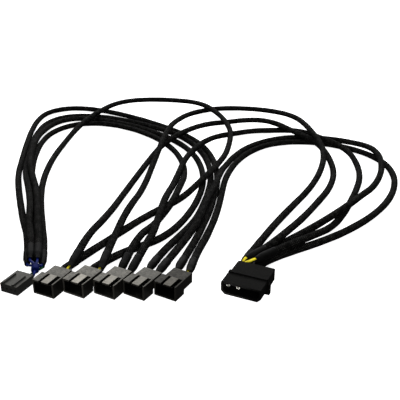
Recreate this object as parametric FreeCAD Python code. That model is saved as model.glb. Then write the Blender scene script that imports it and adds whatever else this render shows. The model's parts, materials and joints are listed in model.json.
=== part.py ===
"""Fan splitter cable: one fan header plug and one power plug feed five fan sockets.

Ten sleeved cables lie loose on the floor. Five signal cables run from the small header plug and five
power cables from the four-way power plug, and each fan socket takes one of each.
Millimetres, +Z up, +Y away from the viewer. The origin is on the floor, under the middle of the third
fan socket's shroud.
"""
import FreeCAD, Part
import math
import os

Vec = FreeCAD.Vector

# Sleeved cable, its shrink tubes and its wires
SLEEVE_D = 4.2
SLEEVE_SIDES = 8
WIRE_D = 1.3
WIRE_SIDES = 6
SHRINK_WALL = 0.3
SHRINK_SIDES = 8
SHRINK_ON_SLEEVE = 7.5
SHRINK_CONE = 1.6
SHRINK_NECK = 5.0
PAIR_FIT = 0.02
SINGLE_NECK_WALL = 0.7
WIRE_LEAD = 2.0
CORNER_SHARE = 0.45
VOLUME_ERROR = 0.01

# Pins and cavities of the fan connectors
PITCH = 2.54
PIN_SIDE = 0.64
CAVITY_W = 2.0
CAVITY_H = 2.2
CRIMP_L = 2.2
TERMINAL_SIDE = 1.8
WINDOW_W = 1.2
WINDOW_L = 2.4

# Fan socket: shroud in front, narrower wire body behind
SOCKET_W = 12.3
SOCKET_H = 7.8
SHROUD_L = 7.4
SOCKET_WALL = 0.9
SHROUD_FLOOR = 1.0
BODY_L = 7.7
BODY_W = 10.5
BODY_H = 5.4
PIN_Z = 5.1
PIN_TIP_SETBACK = 2.4
LEFT_LAND = 3.75
KEY_SLOT_A = 1.6
KEY_TAB = 3.9
KEY_SLOT_B = 2.3
SOCKET_EDGE = 0.3
SOCKET_TERMINAL_L = 2.6

# Header plug: female contacts, two key ribs on top
HEADER_W = 10.3
HEADER_L = 12.7
HEADER_H = 4.8
HEADER_NOSE = 1.2
HEADER_HOLE = 1.1
HEADER_EDGE = 0.25
RIB_W = 1.2
RIB_H = 0.8
RIB_L = 9.4
RIB_CLEAR = 0.2
CONTACT_L = 6.6
CONTACT_WALL = 0.35

# Four-way power plug: mouth in front, wire body behind, ridged flange with side ears between
PLUG_PITCH = 5.08
MOUTH_W = 20.4
MOUTH_H = 6.8
MOUTH_BASE = 0.9
MOUTH_L = 9.2
MOUTH_WALL = 0.9
MOUTH_DEPTH = 8.1
MOUTH_CORNER = 1.9
PLUG_BODY_W = 19.6
PLUG_BODY_H = 6.4
PLUG_BODY_L = 12.5
FLANGE_T = 1.8
FLANGE_RIDGE = 0.6
EAR = 1.1
EAR_H = 6.0
PLUG_EDGE = 0.4
PLUG_PIN_D = 2.1
PLUG_PIN_BORE = 1.2
PLUG_PIN_SETBACK = 3.0
PLUG_PIN_POINT = 0.5
PLUG_SHOULDER_D = 2.6
PLUG_COLLAR_D = 3.6
PLUG_COLLAR_L = 3.0
PLUG_BORE_D = 3.8
WIRE_RING_R = 1.18

# Splice behind the header plug, where the five signal wires become one
SPLICE_L = 4.8
SPLICE_GRIP = 2.2
SPLICE_Z = 4.9
SPLICE_LEAD = 0.8

# Where each connector lies: x, y of its own origin on the floor, and its turn from +Y towards +X
SOCKET_PLACES = [(-29.2, 0.6, 26.0), (-14.8, 1.0, 28.5), (0.0, 0.0, 29.0), (14.3, -0.8, 31.0),
                 (29.2, -1.4, 30.0)]
HEADER_PLACE = (-47.9, -0.7, 25.0)
PLUG_PLACE = (67.0, 2.4, 24.5)
SPLICE_PLACE = (-38.0, 12.2, -10.5)

# Cable routes from fan socket to plug, chosen by hand on the floor
POWER_ROUTES = [
    [(-19.4, 20.3, 7.4), (-17, 34.2, 8.9), (-15, 48.5, 7.8), (-12.3, 64, 5.2), (-8.5, 86, 2.7),
     (-4, 110, 2.1), (1.4, 136, 2.1), (6.8, 160, 2.5), (12.5, 177, 4.8), (18.5, 190, 6.7),
     (25.5, 201, 7.5), (33.5, 213, 7.5), (42, 226, 6.4), (53, 240, 4.2), (67, 248, 2.6), (82, 249, 4.2),
     (96, 241, 6.6), (106, 228, 7.9), (114, 215, 7.5), (121, 205, 7.5), (128, 194, 7.2), (133.5, 180, 6),
     (136.5, 163, 3.4), (135.5, 141, 2.1), (128, 117, 2.1), (115, 93, 2.1), (102, 71, 4.4),
     (90.5, 54.4, 7.6), (82.9, 42.5, 8.6), (74.5, 31.5, 7.7)],
    [(-4.3, 18.1, 7.2), (-2.7, 33.1, 8.5), (-1.3, 48.4, 7.4), (-0.2, 60, 7.5), (1.4, 72, 7.5),
     (3.6, 88, 6.2), (6.4, 107, 3.6), (9.4, 130, 3.8), (12.5, 153, 7), (15, 170, 9.7), (17.2, 187, 10.9),
     (19, 203, 10.9), (21.5, 220, 9.7), (25, 238, 7.2), (32, 259, 5), (43, 277, 2.6), (59, 287, 2.1),
     (77, 288, 2.1), (95, 281, 3.2), (108.5, 267, 5.6), (117.5, 248, 9), (123, 228, 11.6),
     (126, 211, 12.4), (128.4, 195, 12.4), (131, 178, 11.4), (131.5, 160, 8.8), (126, 139, 5.4),
     (115, 115, 2.9), (100.6, 91.2, 2.1), (87.5, 68, 2.1), (76.9, 48.5, 2.8), (70.5, 31.5, 3.2)],
    [(10.9, 18.1, 5), (14.8, 32, 6.9), (18.4, 46.8, 7.2), (20.2, 62, 7.75), (21.4, 79, 7.75),
     (22.8, 96, 7.25), (26, 117, 5.2), (29.6, 136, 6.3), (34, 156, 7.7), (40.5, 175, 7.5),
     (48, 191, 7.2), (57, 207, 5), (70, 220, 2.4), (86, 228, 2.1), (102, 229, 2.1), (115, 222, 4.7),
     (125, 209.5, 7.5), (135, 197, 7.5), (145, 185.5, 7), (152, 171, 5.6), (154, 153, 3),
     (151, 132, 2.1), (142, 108, 2.1), (129.5, 84, 2.1), (116, 64, 3.6), (101.5, 47.5, 6.8),
     (90.9, 38, 8.2), (80.9, 28.4, 7.8)],
    [(25.3, 15.9, 5), (29.9, 30.5, 3.6), (34.4, 46.5, 3.6), (39.6, 62, 5.8), (44.6, 76, 7.2),
     (48.6, 90, 7.2), (52.3, 105, 6.8), (55.4, 121, 6.8), (58.4, 138, 5.6), (62, 154, 2.6),
     (68, 171, 2.1), (78, 189, 2.1), (92, 203, 2.1), (109, 211.5, 2.1), (127, 213, 2.1), (145, 209, 2.1),
     (160, 198, 3.2), (168.5, 182, 6), (170.4, 165, 7.5), (169, 149, 7.2), (164.5, 132, 5.4),
     (155, 113, 4.8), (144, 97, 6.8), (132, 85, 7.5), (118.5, 74, 6), (105, 62.5, 3.6), (91.4, 45.6, 3),
     (77.5, 30.6, 3.2)],
    [(39.7, 16.8, 4.9), (42.1, 31.4, 3.4), (45.55, 48, 2.1), (49.8, 68, 2.1), (54.9, 88, 2.1),
     (58.5, 110, 2.1), (61.4, 132, 2.1), (66.4, 153, 2.1), (74, 171, 2.1), (84, 186, 2.1),
     (97, 197.5, 2.1), (114, 203, 2.1), (132, 201.5, 2.1), (149, 193.5, 2.1), (164, 181, 2.1),
     (173.5, 164, 2.1), (176, 144, 2.1), (171.5, 121, 2.1), (160.5, 97, 2.1), (144, 75, 2.1),
     (125, 57, 2.1), (108.9, 45.2, 2.3), (95.4, 35.5, 3), (82.4, 26.6, 3)],
]
SIGNAL_ROUTES = [
    [(-23.1, 19.7, 2.7), (-15.3, 32.9, 2.7), (-7.1, 46.8, 2.1), (0.9, 60, 2.1), (8.8, 72, 2.1),
     (17, 83, 2.1), (26, 93.6, 2.1), (35, 104.5, 2.8), (44, 117, 6.8), (51, 131, 7.5), (57, 148, 7.2),
     (62.5, 169, 5.1), (66, 189, 6), (67.8, 207, 7.5), (66.6, 225, 7.5), (63, 243, 7.5),
     (57.4, 260, 7.5), (49.5, 278, 7.5), (37.5, 297, 5.2), (19, 311, 2.6), (-3, 313, 2.6),
     (-21, 300, 5.2), (-32.5, 281, 7.5), (-40.9, 262, 7.5), (-48, 244, 7.2), (-54.5, 224, 5),
     (-59, 202, 2.5), (-61.5, 177, 2.1), (-61.7, 152, 2.1), (-60.2, 130, 2.1), (-57, 109, 2.1),
     (-52.7, 89, 2.1), (-48.3, 72.5, 2.1), (-44.7, 58.2, 2.3), (-41.3, 44, 3), (-38.5, 30, 3.2)],
    [(-8.4, 19.8, 2.7), (0.4, 32.1, 2.7), (12.4, 41.6, 2.1), (22, 49.6, 2.1), (29.8, 61.2, 2.1),
     (37.2, 79, 2.1), (43.3, 102, 2.1), (46.4, 126, 2.1), (45.5, 149, 2.1), (41.2, 171, 2.1),
     (33.5, 191, 2.1), (21, 210, 2.1), (4, 228, 2.1), (-16, 243.5, 2.1), (-37, 254.5, 2.1),
     (-57, 260, 2.1), (-70, 255.5, 2.1), (-78, 243, 2.1), (-80.6, 225, 3.3), (-80.4, 205, 5.6),
     (-78.4, 180, 6.3), (-74.6, 155, 6.5), (-67.8, 132, 6.3), (-60, 110, 6.1), (-54.2, 89, 6.1),
     (-50.2, 72.5, 6.3), (-46.8, 58, 6.8), (-44, 43.8, 7.6), (-41.1, 29.8, 7.8)],
    [(5.4, 19.1, 4.8), (8.7, 34, 7), (12.4, 49.4, 6.1), (16.4, 62, 2.8), (21.4, 75.5, 2.6),
     (27.4, 88.5, 6.1), (31.4, 103, 7.7), (33.8, 118, 6.4), (34.6, 134, 3.8), (32.6, 156, 2.3),
     (27.4, 178, 2.1), (21, 193, 2.1), (12.5, 208, 2.1), (0, 223, 2.1), (-15, 236, 2.1), (-32, 245, 2.1),
     (-50, 247, 2.1), (-65, 239, 2.1), (-74, 224, 2.1), (-77.2, 205, 2.1), (-76.6, 181, 2.1),
     (-73.4, 156, 2.1), (-68.4, 132, 2.1), (-62.2, 110, 2.1), (-56.95, 89, 2.1), (-53.13, 72.5, 2.1),
     (-49.5, 58, 2.3), (-46.2, 43.6, 3), (-43.8, 29.7, 3.2)],
    [(20.2, 18.3, 5.1), (24.2, 33.5, 3.2), (29.3, 49, 2.1), (34.9, 62.6, 2.1), (41, 76.5, 2.1),
     (46, 92, 2.1), (49.4, 111, 2.1), (51.4, 131, 2.1), (50.6, 154, 2.1), (46.6, 177, 2.1),
     (38.6, 199, 2.1), (26, 219, 2.1), (8.5, 236, 2.1), (-13.5, 251, 2.1), (-36, 262.5, 2.1),
     (-58, 267, 2.1), (-74.4, 261.5, 2.1), (-83.4, 246, 2.1), (-85.4, 225, 2.1), (-84.2, 203, 2.1),
     (-80.65, 179, 2.1), (-77.8, 156, 2.3), (-72.5, 133.2, 4.9), (-65.2, 111.2, 6.1), (-58.85, 90, 6.1),
     (-55.1, 73.5, 6.3), (-52.5, 59, 6.8), (-49.3, 44.8, 7.7), (-46.5, 30.8, 7.8)],
    [(34.3, 17.9, 5.2), (37.7, 33, 3.2), (41.4, 49.5, 2.1), (44.9, 66, 2.1), (49.4, 84, 2.1),
     (52.8, 105, 2.1), (55.45, 126, 2.1), (55.45, 149, 2.1), (52.4, 173, 2.1), (45.4, 196, 2.1),
     (32.5, 218, 2.1), (14, 239, 2.1), (-9, 259.5, 2.1), (-33, 276.5, 2.1), (-56, 287.5, 2.1),
     (-76, 287, 2.1), (-89, 275, 2.1), (-93, 254, 2.1), (-91.6, 224, 2.1), (-87.9, 194, 2.1),
     (-83.8, 166, 2.1), (-79.4, 139, 2.1), (-72.2, 113, 2.1), (-64.7, 89, 2.1), (-58.2, 69.5, 2.1),
     (-53, 50.5, 2.3), (-49.2, 32, 3)],
]

# Places of five wires round one crimp, in degrees, in the order of the cables
SUPPLY_RING = [198.0, 270.0, 126.0, 54.0, 342.0]
GROUND_RING = [126.0, 198.0, 54.0, 270.0, 342.0]
SIGNAL_RING = [342.0, 54.0, 270.0, 126.0, 198.0]
# Where a wire passes over the others behind the power plug: across, behind its rear face, and up
SUPPLY_OVER = [(-10.1, 2.8, 6.28), (-6.95, 6.76, 5.18), (-7.47, 3.6, 7.92), (-6.0, 4.82, 6.0),
               (-4.86, 2.8, 5.16)]
GROUND_OVER = [(-2.82, 4.78, 6.22), None, None, None, None]
# The same behind the splice, and for the tach wire behind the header plug
SIGNAL_OVER = [None, None, None, None, (-3.0, 3.2, 5.4)]
TACH_OVER = (0.3, 7.0, 1.6)

# The ways of each connector, from the left, and the fan sockets that have a tach pin
SOCKET_WAYS = ["pwm", "tach", "supply", "ground"]
HEADER_WAYS = ["empty", "ground", "tach", "pwm"]
PLUG_WAYS = ["supply", "ground", "spare", "second supply"]
HAS_TACH = [True, False, False, False, False]

# Sizes worked out from those above
SLEEVE_R = SLEEVE_D / 2
WIRE_R = WIRE_D / 2
PAIR_OFFSET = WIRE_R + PAIR_FIT / 2
BODY_MID_X = (SOCKET_W - BODY_W) / 2
PLUG_Z = MOUTH_BASE + MOUTH_H / 2


def ways(names, pitch, middle=0.0):
    """Where each way of a connector lies across it."""
    first = middle - (len(names) - 1) / 2 * pitch
    return {name: first + n * pitch for n, name in enumerate(names)}


PIN_X = ways(SOCKET_WAYS, PITCH, BODY_MID_X)
HEADER_X = ways(HEADER_WAYS, PITCH)
PLUG_X = ways(PLUG_WAYS, PLUG_PITCH)


def box(x0, x1, y0, y1, z0, z1):
    return Part.makeBox(x1 - x0, y1 - y0, z1 - z0, Vec(x0, y0, z0))


def rod(x, z, y0, y1, radius):
    """A round bar along Y."""
    return Part.makeCylinder(radius, y1 - y0, Vec(x, y0, z), Vec(0, 1, 0))


def rounded(solid, radius, wanted):
    """Rounds the edges that wanted(edge) picks."""
    return solid.makeFillet(radius, [e for e in solid.Edges if wanted(e)])


def along(edge, axis):
    """True for a straight edge along one axis, given as a unit vector."""
    if len(edge.Vertexes) != 2:
        return False
    run = edge.Vertexes[1].Point - edge.Vertexes[0].Point
    return abs(abs(run.dot(axis)) - run.Length) < 1e-6


class Place:
    """Where a connector lies, turned about the vertical."""

    def __init__(self, place):
        x, y, turn = place
        self.matrix = FreeCAD.Placement(Vec(x, y, 0), FreeCAD.Rotation(Vec(0, 0, 1), -turn))
        self.rear = self.matrix.Rotation.multVec(Vec(0, 1, 0))

    def point(self, x, y, z):
        return self.matrix.multVec(Vec(x, y, z))

    def put(self, solid):
        moved = solid.copy()
        moved.Placement = self.matrix.multiply(moved.Placement)
        return moved


def ring(middle, direction, radius, sides):
    """A regular polygon round a point, square to a direction, with its corners at the radius."""
    turn = FreeCAD.Rotation(Vec(0, 0, 1), direction)
    corners = []
    for n in range(sides):
        angle = 2 * math.pi * (n + 0.5) / sides
        corners.append(middle + turn.multVec(Vec(radius * math.cos(angle), radius * math.sin(angle), 0)))
    return Part.makePolygon(corners + corners[:1])


def tube(points, radius, sides, radii=None, longest_reach=math.inf):
    """A bar along straight runs joined by tangent arcs, each as large as its runs allow."""
    points = [Vec(p) for p in points]
    edges = []
    start = points[0]
    for before, corner, after in zip(points, points[1:], points[2:]):
        back = (before - corner).normalize()
        ahead = (after - corner).normalize()
        reach = min(longest_reach, CORNER_SHARE * min((before - corner).Length, (after - corner).Length))
        half_turn = (math.pi - back.getAngle(ahead)) / 2
        bend = reach / math.tan(half_turn)
        inward = (back + ahead).normalize()
        middle = corner + inward * (bend / math.cos(half_turn) - bend)
        arc_start, arc_end = corner + back * reach, corner + ahead * reach
        edges.append(Part.LineSegment(start, arc_start).toShape())
        edges.append(Part.Arc(arc_start, middle, arc_end).toShape())
        start = arc_end
        if radii is not None:
            radii.append(bend)
    edges.append(Part.LineSegment(start, points[-1]).toShape())
    path = Part.Wire(edges)
    section = ring(points[0], points[1] - points[0], radius, sides)
    solid = path.makePipeShell([section], True, False)
    expected = Part.Face(section).Area * path.Length
    if abs(solid.Volume / expected - 1) > VOLUME_ERROR:
        raise ValueError("the tube's volume is not its section times its length")
    return solid, path.Length


def fan_socket():
    """Socket housing at its own origin, the middle of the shroud's base, mouth towards -Y."""
    half, front, back = SOCKET_W / 2, -SHROUD_L / 2, SHROUD_L / 2
    shroud = box(-half, half, front, back, 0, SOCKET_H)
    shroud = rounded(shroud, SOCKET_EDGE, lambda e: along(e, Vec(0, 1, 0)))
    body = box(half - BODY_W, half, back - SOCKET_EDGE, back + BODY_L, SOCKET_H - BODY_H, SOCKET_H)
    body = rounded(body, SOCKET_EDGE, lambda e: along(e, Vec(0, 1, 0)))
    housing = shroud.fuse(body).removeSplitter()
    wall, end = SOCKET_WALL, back - SHROUD_FLOOR
    cuts = [box(-half + wall, half - wall, front, end, wall, SOCKET_H - wall)]
    slot_a = -half + LEFT_LAND
    slot_b = slot_a + KEY_SLOT_A + KEY_TAB
    for x, width in ((slot_a, KEY_SLOT_A), (slot_b, KEY_SLOT_B)):
        cuts.append(box(x, x + width, front, back, SOCKET_H - wall, SOCKET_H))
    for x in PIN_X.values():
        hole, low = PIN_SIDE / 2, PIN_Z - CAVITY_H / 2
        cuts.append(box(x - hole, x + hole, end, back, PIN_Z - hole, PIN_Z + hole))
        cuts.append(box(x - CAVITY_W / 2, x + CAVITY_W / 2, back, back + BODY_L, low, low + CAVITY_H))
        window, side = back + SHROUD_FLOOR, WINDOW_W / 2
        cuts.append(box(x - side, x + side, window, window + WINDOW_L, SOCKET_H - BODY_H, low))
    return housing.cut(cuts)


def socket_pin(x):
    """One male terminal: square post, box against the shroud's floor and crimp barrel round the wire."""
    back = SHROUD_L / 2
    post = box(x - PIN_SIDE / 2, x + PIN_SIDE / 2, -back + PIN_TIP_SETBACK, back,
               PIN_Z - PIN_SIDE / 2, PIN_Z + PIN_SIDE / 2)
    tip = [e for e in post.Edges if max(v.Y for v in e.Vertexes) < -back + PIN_TIP_SETBACK + 1e-6]
    post = post.makeChamfer(PIN_SIDE / 4, tip)
    return post.fuse(terminal(x, PIN_Z, back, SOCKET_TERMINAL_L)).removeSplitter()


def terminal(x, z, start, length):
    """A terminal's folded box, open behind it where the crimp grips the wire."""
    side, grip, end = TERMINAL_SIDE / 2, WIRE_R, start + length
    outer = box(x - side, x + side, start, end + CRIMP_L, z - side, z + side)
    return outer.cut(box(x - grip, x + grip, end, end + CRIMP_L, z - grip, z + grip))


def header_plug():
    """Female housing at its own origin, the middle of its front lower edge, mouth towards -Y."""
    half = HEADER_W / 2
    shell = box(-half, half, 0, HEADER_L, 0, HEADER_H)
    shell = rounded(shell, HEADER_EDGE, lambda e: along(e, Vec(0, 1, 0)) or along(e, Vec(0, 0, 1)))
    slot_a = -SOCKET_W / 2 + LEFT_LAND - BODY_MID_X
    slot_b = slot_a + KEY_SLOT_A + KEY_TAB
    ribs = []
    for x in (slot_a + KEY_SLOT_A / 2, slot_b + KEY_SLOT_B / 2):
        width = RIB_W - RIB_CLEAR / 2
        rib = box(-x - width / 2, -x + width / 2, 0, RIB_L, HEADER_H - RIB_CLEAR, HEADER_H + RIB_H)
        ribs.append(rounded(rib, RIB_CLEAR, lambda e: along(e, Vec(0, 1, 0)) and e.Vertexes[0].Z > HEADER_H))
    housing = shell.fuse(ribs).removeSplitter()
    cuts = []
    z = HEADER_H / 2
    for x in HEADER_X.values():
        hole = HEADER_HOLE / 2
        cuts.append(box(x - hole, x + hole, 0, HEADER_NOSE, z - hole, z + hole))
        side, low = CAVITY_W / 2, z - CAVITY_H / 2
        cuts.append(box(x - side, x + side, HEADER_NOSE, HEADER_L, low, low + CAVITY_H))
        window, side = HEADER_L / 2, WINDOW_W / 2
        cuts.append(box(x - side, x + side, window, window + WINDOW_L, 0, low))
    return housing.cut(cuts)


def header_contact(x):
    """One female contact: a folded box against the nose, and a crimp barrel round the wire."""
    z, inner = HEADER_H / 2, TERMINAL_SIDE / 2 - CONTACT_WALL
    start, end = HEADER_NOSE, HEADER_NOSE + CONTACT_L
    hollow = box(x - inner, x + inner, start, end - CONTACT_WALL, z - inner, z + inner)
    return terminal(x, z, start, CONTACT_L).cut(hollow)


def mouth_section(inset, y):
    """The plug's mouth outline, with both lower corners cut off, set in by a wall."""
    half, low, high = MOUTH_W / 2 - inset, MOUTH_BASE + inset, MOUTH_BASE + MOUTH_H - inset
    corner = MOUTH_CORNER - inset * math.tan(math.pi / 8)
    outline = [(-half, high), (-half, low + corner), (-half + corner, low), (half - corner, low),
               (half, low + corner), (half, high)]
    corners = [Vec(x, y, z) for x, z in outline]
    return Part.Face(Part.makePolygon(corners + corners[:1]))


def power_plug():
    """Power plug housing at its own origin, on the floor under the back of its mouth, mouth towards -Y."""
    mouth = mouth_section(0, -MOUTH_L).extrude(Vec(0, MOUTH_L, 0))
    mouth = rounded(mouth, PLUG_EDGE, lambda e: along(e, Vec(0, 1, 0)))
    half, body_half = MOUTH_W / 2, PLUG_BODY_W / 2
    low = PLUG_Z - PLUG_BODY_H / 2
    body = box(-body_half, body_half, 0, PLUG_BODY_L, low, low + PLUG_BODY_H)
    body = rounded(body, PLUG_EDGE, lambda e: along(e, Vec(0, 1, 0)) or
                   (along(e, Vec(0, 0, 1)) and e.Vertexes[0].Y > PLUG_BODY_L / 2))
    flange = box(-half, half, 0, FLANGE_T, MOUTH_BASE, MOUTH_BASE + MOUTH_H + FLANGE_RIDGE)
    ears = box(-half - EAR, half + EAR, 0, FLANGE_T, 0, EAR_H)
    flange, ears = (rounded(piece, PLUG_EDGE, lambda e: along(e, Vec(0, 1, 0))) for piece in (flange, ears))
    housing = mouth.fuse([body, flange, ears]).removeSplitter()
    cuts = [mouth_section(MOUTH_WALL, -MOUTH_L).extrude(Vec(0, MOUTH_DEPTH, 0))]
    for x in PLUG_X.values():
        cuts.append(rod(x, PLUG_Z, -MOUTH_L, 0, PLUG_SHOULDER_D / 2))
        cuts.append(rod(x, PLUG_Z, 0, PLUG_BODY_L, PLUG_BORE_D / 2))
    return housing.cut(cuts)


def power_pin(x):
    """One male pin: a tube with a tapered mouth, and a collar behind the plug's floor for the wires."""
    tip = -MOUTH_L + PLUG_PIN_SETBACK
    floor = -MOUTH_L + MOUTH_DEPTH
    pin_r, bore_r = PLUG_PIN_D / 2, PLUG_PIN_BORE / 2
    shoulder_r, collar_r = PLUG_SHOULDER_D / 2, PLUG_COLLAR_D / 2
    outline = [(bore_r, tip), (pin_r - PLUG_PIN_POINT / 2, tip), (pin_r, tip + PLUG_PIN_POINT),
               (pin_r, floor), (shoulder_r, floor), (shoulder_r, 0), (collar_r, 0),
               (collar_r, PLUG_COLLAR_L), (0, PLUG_COLLAR_L), (0, 0), (bore_r, 0)]
    corners = [Vec(x + r, y, PLUG_Z) for r, y in outline]
    section = Part.Face(Part.makePolygon(corners + corners[:1]))
    return section.revolve(Vec(x, 0, PLUG_Z), Vec(0, 1, 0), 360)


def around(radius):
    """The corner radius of a shrink tube whose flat sides just clear a round of this radius."""
    return radius / math.cos(math.pi / SHRINK_SIDES)


def shrink(end, outward, wires):
    """Shrink tube over a sleeve's end: wide on the sleeve, coned down to a neck on the wires."""
    sleeve_bore = around(SLEEVE_R)
    neck_bore = around(WIRE_D + PAIR_FIT if wires == 2 else WIRE_R + PAIR_FIT)
    wide = sleeve_bore + SHRINK_WALL
    neck = neck_bore + (SHRINK_WALL if wires == 2 else SINGLE_NECK_WALL)

    def span(low, high, low_radius, high_radius):
        rings = [ring(end + outward * at, outward, radius, SHRINK_SIDES)
                 for at, radius in ((low, low_radius), (high, high_radius))]
        return Part.makeLoft(rings, True, True)

    outer = span(-SHRINK_ON_SLEEVE, 0, wide, wide)
    outer = outer.fuse([span(0, SHRINK_CONE, wide, neck), span(SHRINK_CONE, SHRINK_NECK, neck, neck)])
    bores = [span(-SHRINK_ON_SLEEVE, 0, sleeve_bore, sleeve_bore), span(0, SHRINK_NECK, neck_bore, neck_bore)]
    return outer.cut(bores).removeSplitter()


def wire(points):
    """A wire whose bends stay within its straight leads."""
    return tube(points, WIRE_R, WIRE_SIDES, longest_reach=0.95 * WIRE_LEAD)[0]


def tail(end, outward, offset, place, x, z, mouth_y, seat_y, over=None):
    """A wire from the sleeve's end to its crimp: out of the neck, across, and straight into its cavity."""
    start = end + offset
    points = [start, start + outward * (SHRINK_NECK + WIRE_LEAD)]
    if over:
        points.append(place.point(over[0], mouth_y + over[1], over[2]))
    return wire(points + [place.point(x, mouth_y + WIRE_LEAD, z), place.point(x, seat_y, z)])


def ends(route):
    """The two ends of a route, each with the direction that points out of the cable."""
    first, second, before, last = (Vec(route[n]) for n in (0, 1, -2, -1))
    return (first, (first - second).normalize()), (last, (last - before).normalize())


def sideways(outward):
    """Level, to the right of someone who looks along the cable from its end."""
    return outward.cross(Vec(0, 0, 1)).normalize() * -1


def above(outward):
    """Square to the cable, as near upward as that allows."""
    return outward.cross(sideways(outward)).normalize()


def ring_place(degrees):
    turn = math.radians(degrees)
    return WIRE_RING_R * math.cos(turn), WIRE_RING_R * math.sin(turn)


def save(name, *solids):
    shape = solids[0] if len(solids) == 1 else Part.makeCompound(list(solids))
    shape.exportStep("parts/" + name + ".step")


def cable(name, route):
    radii = []
    solid, length = tube(route, SLEEVE_R, SLEEVE_SIDES, radii)
    print(name, "length", round(length), "smallest radius", round(min(radii), 1))
    save(name, solid)


def connectors():
    housing = fan_socket()
    for n, where in enumerate(SOCKET_PLACES):
        place = Place(where)
        save(f"fan_socket_{n + 1}_housing", place.put(housing))
        used = [x for way, x in PIN_X.items() if way != "tach" or HAS_TACH[n]]
        save(f"fan_socket_{n + 1}_pins", *[place.put(socket_pin(x)) for x in used])
    place = Place(HEADER_PLACE)
    save("header_plug_housing", place.put(header_plug()))
    save("header_plug_contacts", *[place.put(header_contact(HEADER_X[way])) for way in ("tach", "pwm")])
    place = Place(PLUG_PLACE)
    save("power_plug_housing", place.put(power_plug()))
    save("power_plug_pins", *[place.put(power_pin(PLUG_X[way])) for way in ("supply", "ground")])


def socket_tail(n, way, end, outward, offset):
    """A wire into one way of fan socket n."""
    back = SHROUD_L / 2
    return tail(end, outward, offset, Place(SOCKET_PLACES[n]), PIN_X[way], PIN_Z, back + BODY_L,
                back + SOCKET_TERMINAL_L)


def power_cables():
    place = Place(PLUG_PLACE)
    for n, route in enumerate(POWER_ROUTES):
        name = f"power_cable_{n + 1}"
        cable(name, route)
        (fan_end, fan_out), (plug_end, plug_out) = ends(route)
        save(name + "_shrinks", shrink(fan_end, fan_out, 2), shrink(plug_end, plug_out, 2))
        for way, side, turn, over in (("supply", -PAIR_OFFSET, SUPPLY_RING[n], SUPPLY_OVER[n]),
                                      ("ground", PAIR_OFFSET, GROUND_RING[n], GROUND_OVER[n])):
            at_fan = socket_tail(n, way, fan_end, fan_out, sideways(fan_out) * side)
            ring_x, ring_z = ring_place(turn)
            at_plug = tail(plug_end, plug_out, above(plug_out) * -side, place, PLUG_X[way] + ring_x,
                           PLUG_Z + ring_z, PLUG_BODY_L, PLUG_COLLAR_L, over)
            save(f"{name}_{way}_wire", at_fan, at_plug)


def signal_cables():
    header, splice = Place(HEADER_PLACE), Place(SPLICE_PLACE)
    crimp, joint = HEADER_NOSE + CONTACT_L, SPLICE_L - SPLICE_GRIP
    z = HEADER_H / 2
    for n, route in enumerate(SIGNAL_ROUTES):
        name = f"signal_cable_{n + 1}"
        cable(name, route)
        wires = 2 if HAS_TACH[n] else 1
        (fan_end, fan_out), (plug_end, plug_out) = ends(route)
        save(name + "_shrinks", shrink(fan_end, fan_out, wires), shrink(plug_end, plug_out, wires))
        apart = PAIR_OFFSET if HAS_TACH[n] else 0
        ring_x, ring_z = ring_place(SIGNAL_RING[n])
        at_fan = socket_tail(n, "pwm", fan_end, fan_out, sideways(fan_out) * -apart)
        at_plug = tail(plug_end, plug_out, above(plug_out) * apart, splice, ring_x, SPLICE_Z + ring_z,
                       SPLICE_L, joint, SIGNAL_OVER[n])
        save(name + "_pwm_wire", at_fan, at_plug)
        if HAS_TACH[n]:
            at_fan = socket_tail(n, "tach", fan_end, fan_out, sideways(fan_out) * apart)
            at_plug = tail(plug_end, plug_out, above(plug_out) * -apart, header, HEADER_X["tach"], z,
                           HEADER_L, crimp, TACH_OVER)
            save(name + "_tach_wire", at_fan, at_plug)
    bore = WIRE_RING_R + WIRE_R + PAIR_FIT
    sleeve = rod(0, SPLICE_Z, 0, SPLICE_L, bore + SHRINK_WALL)
    sleeve = sleeve.cut([rod(0, SPLICE_Z, 0, joint, WIRE_R), rod(0, SPLICE_Z, joint, SPLICE_L, bore)])
    save("pwm_splice_sleeve", splice.put(sleeve))
    x = HEADER_X["pwm"]
    lead = [header.point(x, crimp, z), header.point(x, HEADER_L + SPLICE_LEAD, z),
            splice.point(0, -SPLICE_LEAD, SPLICE_Z), splice.point(0, joint, SPLICE_Z)]
    save("pwm_lead_wire", tube(lead, WIRE_R, WIRE_SIDES, longest_reach=SPLICE_LEAD)[0])


def main():
    os.makedirs("parts", exist_ok=True)
    connectors()
    power_cables()
    signal_cables()


main()
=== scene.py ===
"""Fan splitter cable, dressed for rendering.

Ten braided cables, with their shrink tubes and wires, run between seven connectors.
"""
import json
import math

import bmesh
import bpy
from bpy.props import FloatProperty, FloatVectorProperty, IntProperty, PointerProperty
from mathutils import Matrix, Vector, noise

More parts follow.
